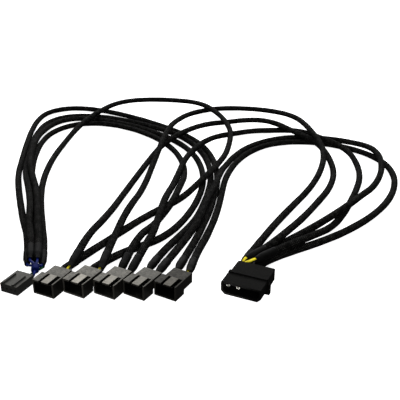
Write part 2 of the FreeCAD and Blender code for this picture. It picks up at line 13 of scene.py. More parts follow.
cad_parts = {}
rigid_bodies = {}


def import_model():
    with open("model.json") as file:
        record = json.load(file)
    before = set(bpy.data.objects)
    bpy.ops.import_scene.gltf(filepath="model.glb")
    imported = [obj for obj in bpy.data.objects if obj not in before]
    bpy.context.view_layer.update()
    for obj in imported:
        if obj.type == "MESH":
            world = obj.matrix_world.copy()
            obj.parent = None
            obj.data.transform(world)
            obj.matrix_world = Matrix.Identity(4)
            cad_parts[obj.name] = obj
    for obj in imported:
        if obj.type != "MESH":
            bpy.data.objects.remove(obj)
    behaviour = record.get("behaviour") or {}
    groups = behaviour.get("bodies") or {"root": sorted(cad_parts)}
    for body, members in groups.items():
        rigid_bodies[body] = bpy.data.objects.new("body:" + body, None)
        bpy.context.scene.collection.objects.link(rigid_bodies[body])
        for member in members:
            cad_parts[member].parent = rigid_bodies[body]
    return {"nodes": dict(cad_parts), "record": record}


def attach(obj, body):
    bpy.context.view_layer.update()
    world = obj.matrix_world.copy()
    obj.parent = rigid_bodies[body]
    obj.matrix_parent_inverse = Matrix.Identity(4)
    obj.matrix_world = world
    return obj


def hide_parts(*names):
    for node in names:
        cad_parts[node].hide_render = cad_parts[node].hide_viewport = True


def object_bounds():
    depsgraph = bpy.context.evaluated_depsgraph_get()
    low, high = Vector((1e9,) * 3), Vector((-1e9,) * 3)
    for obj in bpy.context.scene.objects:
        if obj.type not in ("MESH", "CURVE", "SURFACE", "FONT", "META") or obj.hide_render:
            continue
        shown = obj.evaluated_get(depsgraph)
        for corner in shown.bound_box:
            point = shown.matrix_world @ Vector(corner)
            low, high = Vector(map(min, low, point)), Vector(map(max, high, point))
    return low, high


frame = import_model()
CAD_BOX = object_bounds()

bl_info = {
    "name": "Fan splitter cable",
    "version": (1, 0, 0),
    "blender": (4, 5, 0),
    "location": "3D View > Sidebar > Splitter",
    "description": "Dresses a sleeved fan splitter cable: cables, tubes, wires, connectors and stage",
    "category": "Object",
}

BODY = "root"
UP = Vector((0, 0, 1))
FANS = 5

# Connector sizes that wires and finishes need, in metres, each in its connector's own frame
WIRE_LEAD = 0.0008
PAIR_GAP = 0.00002
WIRE_RING = 0.00118
SOCKET_BACK = 0.0037
SOCKET_REAR = 0.0114
SOCKET_SEAT = 0.0063
SOCKET_PIN_Z = 0.0051
SOCKET_MOUNT_Z = 0.0039
SOCKET_WIDTH = 0.0123
SOCKET_WALL = 0.0009
SOCKET_TOP = 0.0078
SOCKET_WAYS = {"pwm": -0.00291, "tach": -0.00037, "supply": 0.00217, "ground": 0.00471}
TAB_LEFT = -0.0008
TAB_RIGHT = 0.0031
HEADER_REAR = 0.0127
HEADER_SEAT = 0.0078
HEADER_Z = 0.0024
HEADER_WAYS = {"tach": 0.00127, "pwm": 0.00381}
PLUG_REAR = 0.0125
PLUG_SEAT = 0.003
PLUG_Z = 0.0043
PLUG_PIN_MOUNT = 0.0034
PLUG_WAYS = {"supply": -0.00762, "ground": -0.00254}
SPLICE_LENGTH = 0.0048
SPLICE_SEAT = 0.0026
SPLICE_Z = 0.0049
SPLICE_LEAD = 0.0008
SPLICE_AT = (-0.038, 0.0122)
SPLICE_TURN = -10.5

# Places of five wires round one crimp, in degrees, in the order of the cables
SUPPLY_RING = [198.0, 270.0, 126.0, 54.0, 342.0]
GROUND_RING = [126.0, 198.0, 54.0, 270.0, 342.0]
SIGNAL_RING = [342.0, 54.0, 270.0, 126.0, 198.0]
# The cable with a tach wire, and where that wire passes beside the splice
TACH_CABLE = 1
TACH_OVER = (0.0003, 0.007, 0.0016)

# How bright each socket's gloss and the painted highlight on the latch tabs are, and the painted shade,
# painted highlights and dustiness on the plastic
TAB_HIGHLIGHT_GAIN = [1.0, 1.45, 1.05, 0.68, 0.5]
SOCKET_GLOSS = [0.30, 0.33, 0.42, 0.33, 0.08]
WARM = (1.0, 0.965, 0.80)
# The mouth's near-black is painted shade inside the sockets.
MOUTH_SHADE = (0.0005, 0.0005, 0.0005)
# Share of the tabs' colour on the front rims: a painted highlight.
RIM_HIGHLIGHT_SHARE = 0.1
# Share of the tabs' colour on the tops, with the grain: partly dustiness, partly painted sheen.
DUST_AND_SHEEN_SHARE = 0.42
TAB_HIGHLIGHT_EVEN = 0.55
SPLICE_TINT = 0.35
# The fan pins' tin is darkened by this share: painted shade inside the sockets.
FAN_PIN_SHADE = 0.15
# Width of a soft border between two finishes, and a length beyond any connector
SOFT = 0.0001
FAR = 1.0

# How meshes are cut, joined and smoothed
WIRE_SIDES = 10
WIRE_RINGS = 6
SPIN_STEPS = 28
GRIP_RINGS = 8
NECK_RINGS = 9
SPLICE_RINGS = 6
PAIR_FLATTEN = 0.16
MERGE = 1e-7
SOLID_MERGE = 1e-6
FLAT_ANGLE = math.radians(1.0)
SHARP_EDGE = math.radians(35.0)
SHARP_SHADING = math.radians(50.0)
CONTACTS_FINER = 3

# Sockets of the mix node, which has a pair for each kind of data
MIX_FACTOR = 0
MIX_VALUES = (2, 3)
MIX_COLOURS = (6, 7)
MIX_COLOUR_OUT = 2

# The floor lies just under the part, and the camera's frame is 36 mm wide
FLOOR_DROP = 0.0003
FRAME_WIDTH = 36.0
# The white table's light on the power pins' tips, in the plug's own frame
BOUNCE_AT = (-0.0135, 0.0003)
BOUNCE_TO = (-0.0062, 0.0043)
BOUNCE_SIZE = (0.012, 0.003)

# Cable routes from fan socket to plug: the solids' points, some moved, most of them near the ends
POWER_ROUTES = [
    [(-0.0197, 0.0183, 0.0072), (-0.0172, 0.0332, 0.0088), (-0.015, 0.0485, 0.0078),
     (-0.0123, 0.064, 0.0052), (-0.0085, 0.086, 0.0027), (-0.004, 0.11, 0.0021), (0.0014, 0.136, 0.0021),
     (0.0068, 0.16, 0.0025), (0.0125, 0.177, 0.0048), (0.0185, 0.19, 0.0067), (0.0255, 0.201, 0.0075),
     (0.0335, 0.213, 0.0075), (0.042, 0.226, 0.0064), (0.053, 0.24, 0.0042), (0.067, 0.248, 0.0026),
     (0.082, 0.249, 0.0042), (0.096, 0.241, 0.0066), (0.106, 0.228, 0.0079), (0.114, 0.215, 0.0075),
     (0.121, 0.205, 0.0075), (0.128, 0.194, 0.0072), (0.1335, 0.18, 0.006), (0.1365, 0.163, 0.0034),
     (0.1355, 0.141, 0.0021), (0.128, 0.117, 0.0021), (0.115, 0.093, 0.0021), (0.103, 0.069, 0.0046),
     (0.0925, 0.0498, 0.0074), (0.078, 0.0293, 0.0075), (0.072, 0.0243, 0.0071)],
    [(-0.0045, 0.0166, 0.0071), (-0.0028, 0.0324, 0.0084), (-0.0013, 0.0484, 0.0074),
     (-0.0002, 0.06, 0.0075), (0.0014, 0.072, 0.0075), (0.0036, 0.088, 0.0062), (0.0064, 0.107, 0.0036),
     (0.0094, 0.13, 0.0038), (0.0125, 0.153, 0.007), (0.015, 0.17, 0.0097), (0.0172, 0.187, 0.0109),
     (0.019, 0.203, 0.0109), (0.0215, 0.22, 0.0097), (0.025, 0.238, 0.0072), (0.032, 0.259, 0.005),
     (0.043, 0.277, 0.0026), (0.059, 0.287, 0.0021), (0.077, 0.288, 0.0021), (0.095, 0.281, 0.0032),
     (0.1085, 0.267, 0.0056), (0.1175, 0.248, 0.009), (0.123, 0.228, 0.0116), (0.126, 0.211, 0.0124),
     (0.1284, 0.195, 0.0124), (0.131, 0.178, 0.0114), (0.1315, 0.16, 0.0088), (0.126, 0.139, 0.0054),
     (0.115, 0.115, 0.0029), (0.1006, 0.0912, 0.0021), (0.0875, 0.068, 0.0021), (0.0713, 0.0334, 0.0032),
     (0.0679, 0.0262, 0.003)],
    [(0.0105, 0.0167, 0.0048), (0.0146, 0.0313, 0.0068), (0.0184, 0.0468, 0.0072),
     (0.0202, 0.062, 0.00775), (0.0214, 0.079, 0.00775), (0.0236, 0.096, 0.0072), (0.0272, 0.117, 0.0052),
     (0.0304, 0.136, 0.0063), (0.034, 0.156, 0.0077), (0.0405, 0.175, 0.0075), (0.048, 0.191, 0.0072),
     (0.057, 0.207, 0.005), (0.07, 0.22, 0.0024), (0.086, 0.228, 0.0021), (0.102, 0.229, 0.0021),
     (0.115, 0.222, 0.0047), (0.125, 0.2095, 0.0075), (0.135, 0.197, 0.0075), (0.145, 0.1855, 0.007),
     (0.152, 0.171, 0.0056), (0.154, 0.153, 0.003), (0.151, 0.132, 0.0021), (0.142, 0.108, 0.0021),
     (0.1304, 0.082, 0.0021), (0.119, 0.0616, 0.0028), (0.104, 0.0444, 0.0066), (0.083, 0.0274, 0.0075),
     (0.0766, 0.0223, 0.0074)],
    [(0.0249, 0.0145, 0.0051), (0.0297, 0.0298, 0.0037), (0.0366, 0.0465, 0.0042), (0.043, 0.062, 0.0064),
     (0.0462, 0.076, 0.0072), (0.0486, 0.09, 0.0072), (0.0523, 0.105, 0.0068), (0.0554, 0.121, 0.0068),
     (0.0584, 0.138, 0.0056), (0.062, 0.154, 0.0026), (0.068, 0.171, 0.0021), (0.078, 0.189, 0.0021),
     (0.092, 0.203, 0.0021), (0.109, 0.2115, 0.0021), (0.127, 0.213, 0.0021), (0.145, 0.209, 0.0021),
     (0.16, 0.198, 0.0032), (0.1685, 0.182, 0.006), (0.1704, 0.165, 0.0075), (0.169, 0.149, 0.0072),
     (0.1645, 0.132, 0.0054), (0.155, 0.113, 0.0048), (0.144, 0.097, 0.0068), (0.1332, 0.0826, 0.0075),
     (0.1206, 0.0694, 0.0066), (0.1064, 0.0594, 0.003), (0.0763, 0.0311, 0.0032), (0.0716, 0.0245, 0.003)],
    [(0.0395, 0.0153, 0.0051), (0.042, 0.0307, 0.0035), (0.0465, 0.048, 0.0021), (0.0514, 0.068, 0.0021),
     (0.0551, 0.088, 0.0021), (0.0579, 0.11, 0.0021), (0.0608, 0.132, 0.0021), (0.0664, 0.153, 0.0021),
     (0.074, 0.171, 0.0021), (0.084, 0.186, 0.0021), (0.097, 0.1975, 0.0021), (0.114, 0.203, 0.0021),
     (0.132, 0.2015, 0.0021), (0.149, 0.1935, 0.0021), (0.164, 0.181, 0.0021), (0.1735, 0.164, 0.0021),
     (0.176, 0.144, 0.0021), (0.1715, 0.121, 0.0021), (0.1605, 0.097, 0.0021), (0.144, 0.075, 0.0021),
     (0.125, 0.057, 0.0021), (0.1089, 0.0452, 0.0023), (0.0817, 0.0279, 0.003), (0.0759, 0.0223, 0.003)],
]
SIGNAL_ROUTES = [
    [(-0.0237, 0.0187, 0.0027), (-0.0156, 0.0324, 0.0027), (-0.0071, 0.0468, 0.0021),
     (0.0009, 0.06, 0.0021), (0.0088, 0.072, 0.0021), (0.017, 0.083, 0.0021), (0.026, 0.0936, 0.0021),
     (0.035, 0.1045, 0.0028), (0.044, 0.117, 0.0068), (0.051, 0.131, 0.0075), (0.057, 0.148, 0.0072),
     (0.0625, 0.169, 0.0051), (0.066, 0.189, 0.006), (0.0678, 0.207, 0.0075), (0.0666, 0.225, 0.0075),
     (0.063, 0.243, 0.0075), (0.0574, 0.26, 0.0075), (0.0495, 0.278, 0.0075), (0.0375, 0.297, 0.0052),
     (0.019, 0.311, 0.0026), (-0.003, 0.313, 0.0026), (-0.021, 0.3, 0.0052), (-0.0325, 0.281, 0.0075),
     (-0.0409, 0.262, 0.0075), (-0.048, 0.244, 0.0072), (-0.0545, 0.224, 0.005), (-0.059, 0.202, 0.0025),
     (-0.0615, 0.177, 0.0021), (-0.0617, 0.152, 0.0021), (-0.0602, 0.13, 0.0021), (-0.057, 0.109, 0.0021),
     (-0.0527, 0.089, 0.0021), (-0.0483, 0.0725, 0.0021), (-0.0447, 0.0582, 0.0023),
     (-0.0403, 0.042, 0.0028), (-0.0376, 0.0263, 0.0027)],
    [(-0.0091, 0.0188, 0.0027), (0.0001, 0.0316, 0.0027), (0.0124, 0.0416, 0.0021),
     (0.022, 0.0496, 0.0021), (0.0298, 0.0612, 0.0021), (0.0372, 0.079, 0.0021), (0.0433, 0.102, 0.0021),
     (0.0464, 0.126, 0.0021), (0.0455, 0.149, 0.0021), (0.0412, 0.171, 0.0021), (0.0335, 0.191, 0.0021),
     (0.021, 0.21, 0.0021), (0.004, 0.228, 0.0021), (-0.016, 0.2435, 0.0021), (-0.037, 0.2545, 0.0021),
     (-0.057, 0.26, 0.0021), (-0.07, 0.2555, 0.0021), (-0.078, 0.243, 0.0021), (-0.0806, 0.225, 0.0033),
     (-0.0804, 0.205, 0.0056), (-0.0784, 0.18, 0.0063), (-0.0746, 0.155, 0.0065), (-0.0678, 0.132, 0.0063),
     (-0.06, 0.11, 0.0061), (-0.0542, 0.089, 0.0061), (-0.0502, 0.0725, 0.0063), (-0.0468, 0.058, 0.0068),
     (-0.0428, 0.043, 0.0066), (-0.0397, 0.0266, 0.0064)],
    [(0.0052, 0.0181, 0.0047), (0.0086, 0.0335, 0.0069), (0.0124, 0.0494, 0.0061), (0.0164, 0.062, 0.0028),
     (0.0214, 0.0755, 0.0026), (0.0274, 0.0885, 0.0061), (0.0305, 0.103, 0.0077), (0.0325, 0.118, 0.0064),
     (0.0338, 0.134, 0.0038), (0.0326, 0.156, 0.0023), (0.0274, 0.178, 0.0021), (0.021, 0.193, 0.0021),
     (0.0125, 0.208, 0.0021), (0, 0.223, 0.0021), (-0.015, 0.236, 0.0021), (-0.032, 0.245, 0.0021),
     (-0.05, 0.247, 0.0021), (-0.065, 0.239, 0.0021), (-0.074, 0.224, 0.0021), (-0.0772, 0.205, 0.0021),
     (-0.0766, 0.181, 0.0021), (-0.0734, 0.156, 0.0021), (-0.0684, 0.132, 0.0021), (-0.0622, 0.11, 0.0021),
     (-0.05695, 0.089, 0.0021), (-0.05313, 0.0725, 0.0021), (-0.0495, 0.058, 0.0023),
     (-0.0448, 0.0431, 0.0028), (-0.0417, 0.0266, 0.0027)],
    [(0.0199, 0.0173, 0.0052), (0.0241, 0.033, 0.0033), (0.0307, 0.049, 0.0021), (0.0375, 0.0626, 0.0021),
     (0.0426, 0.0765, 0.0021), (0.046, 0.092, 0.0021), (0.0494, 0.111, 0.0021), (0.0514, 0.131, 0.0021),
     (0.0506, 0.154, 0.0021), (0.0466, 0.177, 0.0021), (0.0386, 0.199, 0.0021), (0.026, 0.219, 0.0021),
     (0.0085, 0.236, 0.0021), (-0.0135, 0.251, 0.0021), (-0.036, 0.2625, 0.0021), (-0.058, 0.267, 0.0021),
     (-0.0744, 0.2615, 0.0021), (-0.0834, 0.246, 0.0021), (-0.0854, 0.225, 0.0021),
     (-0.0842, 0.203, 0.0021), (-0.08065, 0.179, 0.0021), (-0.0778, 0.156, 0.0023),
     (-0.0725, 0.1332, 0.0049), (-0.0652, 0.1112, 0.0061), (-0.05885, 0.09, 0.0061),
     (-0.0551, 0.0735, 0.0063), (-0.0525, 0.059, 0.0068), (-0.0472, 0.0441, 0.0066),
     (-0.0436, 0.0266, 0.0064)],
    [(0.0341, 0.0169, 0.0053), (0.0376, 0.0325, 0.0033), (0.0419, 0.0495, 0.0021), (0.0459, 0.066, 0.0021),
     (0.0498, 0.084, 0.0021), (0.0531, 0.105, 0.0021), (0.0556, 0.126, 0.0021), (0.05545, 0.149, 0.0021),
     (0.0524, 0.173, 0.0021), (0.0454, 0.196, 0.0021), (0.0325, 0.218, 0.0021), (0.014, 0.239, 0.0021),
     (-0.009, 0.2595, 0.0021), (-0.033, 0.2765, 0.0021), (-0.056, 0.2875, 0.0021), (-0.076, 0.287, 0.0021),
     (-0.089, 0.275, 0.0021), (-0.0925, 0.254, 0.0021), (-0.0909, 0.224, 0.0021), (-0.0872, 0.194, 0.0021),
     (-0.0833, 0.166, 0.0021), (-0.0793, 0.139, 0.0021), (-0.0722, 0.113, 0.0021),
     (-0.0647, 0.089, 0.0021), (-0.0582, 0.0695, 0.0021), (-0.0504, 0.0491, 0.0025),
     (-0.0458, 0.0278, 0.0027)],
]


class SleeveSettings(bpy.types.PropertyGroup):
    """Sizes and colours of the braided cables."""
    diameter: FloatProperty(name="Diameter", description="Outer diameter of the braided sleeve",
                            default=0.0042, subtype="DISTANCE", unit="LENGTH")
    sides: IntProperty(name="Sides", description="Faces round one cable", default=14)
    rings: IntProperty(name="Rings", description="Rings of faces from one point of a route to the next",
                       default=10)
    unevenness: FloatProperty(name="Unevenness", description="How far the soft braid swells and pinches",
                              default=0.0001, subtype="DISTANCE", unit="LENGTH")
    strands: IntProperty(name="Strands", description="Strands that wind each way round the sleeve",
                         default=12)
    pitch: FloatProperty(name="Pitch", description="Length in which one strand goes once round the sleeve",
                         default=0.016, subtype="DISTANCE", unit="LENGTH")
    colour: FloatVectorProperty(name="Colour", description="Colour of the braid", subtype="COLOR",
                                default=(0.0014, 0.0014, 0.0013))
    # A painted highlight: this colour on the crowns stands for their glints.
    highlight: FloatVectorProperty(name="Highlight", description="Colour of the strands' glinting crowns",
                                   subtype="COLOR", default=(0.085, 0.083, 0.078))


class ShrinkSettings(bpy.types.PropertyGroup):
    """Sizes and colours of the shrink tubes."""
    on_sleeve: FloatProperty(name="Grip", description="Length that lies on the sleeve", default=0.0075,
                             subtype="DISTANCE", unit="LENGTH")
    neck: FloatProperty(name="Neck", description="Length from the sleeve's end to the tube's end",
                        default=0.0062, subtype="DISTANCE", unit="LENGTH")
    taper: FloatProperty(name="Taper", description="Radius of the end over one wire, as a share of the grip",
                         default=0.62, subtype="FACTOR")
    pair_taper: FloatProperty(name="Pair taper", default=0.76, subtype="FACTOR",
                              description="Radius of the end over two wires, as a share of the grip")
    wall: FloatProperty(name="Wall", description="Thickness of the shrunk wall", default=0.00016,
                        subtype="DISTANCE", unit="LENGTH")
    wrinkle: FloatProperty(name="Wrinkle", description="Height of the wrinkles left by the heat",
                           default=0.00007, subtype="DISTANCE", unit="LENGTH")
    colour: FloatVectorProperty(name="Colour", description="Colour of the tube", subtype="COLOR",
                                default=(0.0016, 0.0016, 0.0016))


class WireSettings(bpy.types.PropertyGroup):
    """Size and colours of the insulated wires."""
    diameter: FloatProperty(name="Diameter", description="Outer diameter of one wire", default=0.0013,
                            subtype="DISTANCE", unit="LENGTH")
    supply: FloatVectorProperty(name="Supply", description="Insulation of the supply wires",
                                subtype="COLOR", default=(0.95, 0.78, 0.03))
    ground: FloatVectorProperty(name="Ground", description="Insulation of the ground wires",
                                subtype="COLOR", default=(0.008, 0.008, 0.008))
    pwm: FloatVectorProperty(name="PWM", description="Insulation of the speed signal wires",
                             subtype="COLOR", default=(0.003, 0.010, 0.11))
    tach: FloatVectorProperty(name="Tach", description="Insulation of the tach wire", subtype="COLOR",
                              default=(0.008, 0.09, 0.025))


class ConnectorSettings(bpy.types.PropertyGroup):
    """Edges and colours of the moulded connectors."""
    edge: FloatProperty(name="Edge", description="Rounding of the moulded edges", default=0.00012,
                        subtype="DISTANCE", unit="LENGTH")
    pin_edge: FloatProperty(name="Pin edge", description="Rounding of the power pins' tips", default=0.0003,
                            subtype="DISTANCE", unit="LENGTH")
    socket: FloatVectorProperty(name="Sockets", description="Plastic of the fan sockets", subtype="COLOR",
                                default=(0.0045, 0.0042, 0.0037))
    # The latch tabs' colour is a painted highlight, light off their tops; the rims and tops take shares of
    # it.
    tab_highlight: FloatVectorProperty(name="Tabs", description="Plastic of the rubbed latch tabs", subtype="COLOR",
                             default=(0.24, 0.225, 0.195))
    header: FloatVectorProperty(name="Header plug", description="Plastic of the header plug",
                                subtype="COLOR", default=(0.016, 0.016, 0.0155))
    plug: FloatVectorProperty(name="Power plug", description="Plastic of the power plug", subtype="COLOR",
                              default=(0.0024, 0.0024, 0.0024))
    contact: FloatVectorProperty(name="Contacts", description="Tin on the pins and contacts",
                                 subtype="COLOR", default=(0.80, 0.78, 0.74))


class StageSettings(bpy.types.PropertyGroup):
    """Camera, floor and light."""
    camera_at: FloatVectorProperty(name="Camera", description="Where the camera stands", subtype="XYZ",
                                   unit="LENGTH", default=(0.044, -0.2595, 0.174))
    pitch: FloatProperty(name="Pitch", description="How far the camera looks down", subtype="ANGLE",
                         unit="ROTATION", default=math.radians(25.6))
    lens: FloatProperty(name="Lens", description="Focal length in millimetres on a 36 mm frame",
                        default=57.6)
    floor_size: FloatProperty(name="Floor", description="Width of the floor", default=8.0, unit="LENGTH")
    glow: FloatProperty(name="Floor glow", description="Light that the lit table gives off by itself",
                        default=0.92)
    surround: FloatProperty(name="Surround", description="Strength of the dim light from all round",
                            default=0.09)
    top_light: FloatProperty(name="Top light", description="Power of the soft light overhead, in watts",
                             default=7.0)
    back_light: FloatProperty(name="Back light", description="Power of the soft light behind, in watts",
                              default=10.0)
    front_light: FloatProperty(name="Front light", description="Power of the small light in front, in watts",
                               default=1.5)
    bounce: FloatProperty(name="Bounce", description="Power of the table's light on the pins, in watts",
                          default=0.002)


class Value:
    """A shader value that takes part in Python's arithmetic, which adds the Math nodes."""

    def __init__(self, finish, socket):
        self.finish = finish
        self.socket = socket

    def math(self, operation, *others):
        inputs = dict(enumerate((self, *others)))
        node = self.finish.node("ShaderNodeMath", {"operation": operation}, inputs)
        return Value(self.finish, node.outputs[0])

    def __add__(self, other):
        return self.math("ADD", other)

    __radd__ = __add__

    def __mul__(self, other):
        return self.math("MULTIPLY", other)

    def __sub__(self, other):
        return self.math("SUBTRACT", other)

    def __rsub__(self, other):
        return (self * -1) + other

    def __abs__(self):
        return self.math("ABSOLUTE")

    def sine(self):
        return self.math("SINE")

    def power(self, exponent):
        return self.math("POWER", exponent)

    def between(self, low, high):
        """0 below low, 1 above high, smooth in between."""
        node = self.finish.node("ShaderNodeMapRange", {"interpolation_type": "SMOOTHSTEP"},
                                {"Value": self, "From Min": low, "From Max": high})
        return Value(self.finish, node.outputs["Result"])

    def inside(self, low, high):
        """1 from low to high, 0 elsewhere."""
        return self.between(low - SOFT, low) * (1 - self.between(high, high + SOFT))


class Finish:
    """One material, with its principled shader and the nodes that feed it."""

    def __init__(self, name, **constants):
        self.material = bpy.data.materials.new(name)
        self.material.use_nodes = True
        self.tree = self.material.node_tree
        self.shader = self.tree.nodes["Principled BSDF"]
        for socket, value in constants.items():
            self.set(socket.replace("_", " "), value)

    def node(self, kind, settings=None, inputs=None):
        """Adds one node: its settings first, then the values or links of its sockets."""
        node = self.tree.nodes.new(kind)
        for name, value in (settings or {}).items():
            setattr(node, name, value)
        for name, value in (inputs or {}).items():
            self.feed(node.inputs[name], value)
        return node

    def feed(self, socket, value):
        if isinstance(value, Value):
            value = value.socket
        if isinstance(value, bpy.types.NodeSocket):
            self.tree.links.new(value, socket)
        elif socket.type == "RGBA":
            socket.default_value = (*value, 1.0)
        else:
            socket.default_value = value

    def set(self, name, value):
        self.feed(self.shader.inputs[name], value)

    def place(self, scale=(1, 1, 1)):
        """The object's own coordinates, scaled."""
        return self.stretch(self.node("ShaderNodeTexCoord").outputs["Object"], scale)

    def within(self, connector):
        """Coordinates in a connector's own frame: across it, along it and up."""
        where = self.node("ShaderNodeTexCoord").outputs["Object"]
        at = connector.matrix.translation
        turn = (0, 0, connector.matrix.to_euler().z)
        node = self.node("ShaderNodeMapping", {"vector_type": "TEXTURE"},
                         {"Vector": where, "Location": at, "Rotation": turn})
        return node.outputs[0]

    def stretch(self, vector, scale):
        return self.node("ShaderNodeMapping", None, {"Vector": vector, "Scale": scale}).outputs[0]

    def parts(self, vector):
        node = self.node("ShaderNodeSeparateXYZ", None, {"Vector": vector})
        return [Value(self, socket) for socket in node.outputs]

    def noise(self, vector, scale, detail=3.0, roughness=0.55):
        node = self.node("ShaderNodeTexNoise", None,
                         {"Vector": vector, "Scale": scale, "Detail": detail, "Roughness": roughness})
        return Value(self, node.outputs["Fac"])

    def mix(self, factor, low, high):
        """A colour between two others."""
        node = self.node("ShaderNodeMix", {"data_type": "RGBA"})
        for socket, value in zip((MIX_FACTOR, *MIX_COLOURS), (factor, low, high)):
            self.feed(node.inputs[socket], value)
        return node.outputs[MIX_COLOUR_OUT]

    def bump(self, height, strength, distance):
        node = self.node("ShaderNodeBump", None,
                         {"Height": height, "Strength": strength, "Distance": distance})
        self.set("Normal", node.outputs[0])


def lighter(colour, by):
    return tuple(min(1.0, c * by) for c in colour)


def braid_finish(settings):
    """Fine two-way braid: strands wind both ways, their crowns catch the light, and a painted highlight on
    the crowns stands for their glints.
    """
    finish = Finish("braided_sleeve_finish", Specular_IOR_Level=0.022)
    uv = finish.node("ShaderNodeTexCoord").outputs["UV"]
    turns, round_it = finish.parts(uv)[:2]
    half = math.pi * settings.strands
    one_way = abs(((round_it + turns) * half).sine())
    other_way = abs(((round_it - turns) * half).sine())
    crowns = (one_way * other_way).power(0.6)
    glint_scatter = finish.noise(finish.place(), scale=420.0)
    # Painted highlight: a lighter colour on the crowns, scattered by a noise, stands for their glints.
    crown_glints = crowns.between(0.82, 1.0) * glint_scatter.between(0.35, 0.65)
    finish.set("Base Color", finish.mix(crown_glints, settings.colour, settings.highlight))
    finish.set("Roughness", 0.72 - crown_glints * 0.22)
    finish.bump(crowns, strength=0.55, distance=0.00025)
    return finish.material


def shrink_finish(name, colour):
    """Shrunk tube: satin, faintly wrinkled across."""
    finish = Finish(name, Specular_IOR_Level=0.045)
    wrinkles = finish.noise(finish.place((1.0, 2.2, 1.0)), scale=900.0, detail=4.0)
    blotches = finish.noise(finish.place(), scale=260.0)
    finish.set("Base Color", finish.mix(blotches.between(0.35, 0.7), colour, lighter(colour, 1.9)))
    finish.set("Roughness", 0.42 + blotches * 0.22)
    finish.bump(wrinkles, strength=0.3, distance=0.0002)
    return finish.material


def highlighted(finish, local, surface, shade, tab_highlight):
    """A socket's plastic with painted shade in the mouth, painted highlights on the front rims and latch
    tabs, and a top lightened partly by dustiness, partly by painted sheen.
    """
    x, y, z = finish.parts(local)
    on_top = z.inside(SOCKET_TOP, FAR)
    tab_highlight_mask = x.inside(TAB_LEFT, TAB_RIGHT) * y.inside(-SOCKET_BACK, SOCKET_BACK) * on_top
    rim_highlight_mask = y.inside(-FAR, -SOCKET_BACK)
    half = SOCKET_WIDTH / 2 - SOCKET_WALL
    # Painted shade: the inside of the mouth is painted near black.
    mouth_shade_mask = (x.inside(-half, half) * y.inside(-SOCKET_BACK + 2 * SOFT, SOCKET_BACK)
                * z.inside(SOCKET_WALL, SOCKET_TOP - SOCKET_WALL))
    surface = finish.mix(mouth_shade_mask, surface, MOUTH_SHADE)
    # Painted highlight on the front rims.
    surface = finish.mix(rim_highlight_mask, surface, lighter(tab_highlight, RIM_HIGHLIGHT_SHARE))
    # Tops lightened with the grain: partly dustiness, partly painted sheen.
    surface = finish.mix(on_top * shade, surface, lighter(tab_highlight, DUST_AND_SHEEN_SHARE))
    # Painted highlight on the latch tabs.
    return finish.mix(tab_highlight_mask * (TAB_HIGHLIGHT_EVEN + shade * (1 - TAB_HIGHLIGHT_EVEN)), surface, tab_highlight)


def plastic_finish(name, connector, colour, specular, roughness, grain, tab_highlight=None):
    """Moulded plastic with a fine grain across the connector, a little dustiness and, on sockets, painted
    shade and painted highlights.
    """
    finish = Finish(name, Specular_IOR_Level=specular, Specular_Tint=WARM)
    local = finish.within(connector)
    drawn = finish.stretch(local, (0.5, 1.5, 1.0))
    across = finish.noise(drawn, scale=1500.0, detail=4.0, roughness=0.65)
    cloud = finish.noise(local, scale=300.0)
    shade = (across * 0.6 + cloud * 0.4).between(0.36, 0.66)
    surface = finish.mix(shade, lighter(colour, 0.72), lighter(colour, 1.3))
    if tab_highlight:
        surface = highlighted(finish, local, surface, shade, tab_highlight)
    finish.set("Base Color", surface)
    finish.set("Roughness", roughness - 0.05 + across * 0.26 + cloud * 0.08)
    finish.bump(across * 0.7 + cloud * 0.3, strength=grain, distance=0.00006)
    return finish.material


def contact_finish(name, colour):
    """Tinned brass: bright, with fine draw marks and darker, rougher patches."""
    finish = Finish(name, Metallic=1.0)
    marks = finish.noise(finish.place((1.0, 1.0, 0.2)), scale=2600.0)
    patches = finish.noise(finish.place(), scale=700.0)
    finish.set("Base Color", finish.mix(patches.between(0.4, 0.75), colour, lighter(colour, 0.7)))
    finish.set("Roughness", 0.16 + marks * 0.16 + patches * 0.08)
    finish.bump(marks, strength=0.15, distance=0.00003)
    return finish.material


def insulation_finish(name, colour):
    """Wire insulation: smooth, with slight unevenness from the drawing."""
    finish = Finish(name, Specular_IOR_Level=0.2)
    cloud = finish.noise(finish.place(), scale=500.0)
    shade = cloud.between(0.3, 0.75)
    finish.set("Base Color", finish.mix(shade, lighter(colour, 0.82), lighter(colour, 1.12)))
    finish.set("Roughness", 0.3 + cloud * 0.14)
    finish.bump(cloud, strength=0.12, distance=0.0001)
    return finish.material


def settle(piece, slot, material, *nodes):
    """Puts a finished piece on its body, with its finish, in place of its nodes."""
    piece.data.materials.clear()
    piece.data.materials.append(material)
    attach(piece, BODY)
    if nodes:
        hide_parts(*nodes)
    return piece


def new_piece(name, mesh):
    piece = bpy.data.objects.new(name, mesh)
    bpy.context.collection.objects.link(piece)
    return piece


def mesh_of(bm, name):
    """Ends a bmesh as a mesh with smooth faces."""
    for face in bm.faces:
        face.smooth = True
    mesh = bpy.data.meshes.new(name)
    bm.to_mesh(mesh)
    bm.free()
    return mesh


def curve_mesh(name, routes, radius, sides, rings):
    """A mesh of tubes along smooth curves over the routes' control points, or of lines if radius is 0."""
    curve = bpy.data.curves.new(name, "CURVE")
    curve.dimensions = "3D"
    curve.resolution_u = rings
    curve.bevel_depth = radius
    curve.bevel_resolution = max(0, sides // 2 - 2)
    curve.use_fill_caps = radius > 0
    for route in routes:
        spline = curve.splines.new("NURBS")
        spline.points.add(len(route) - 1)
        for point, place in zip(spline.points, route):
            point.co = (*place, 1.0)
        spline.order_u = 3
        spline.use_endpoint_u = True
        spline.resolution_u = rings
    holder = bpy.data.objects.new(name, curve)
    mesh = bpy.data.meshes.new_from_object(holder)
    bpy.data.objects.remove(holder)
    bpy.data.curves.remove(curve)
    return mesh


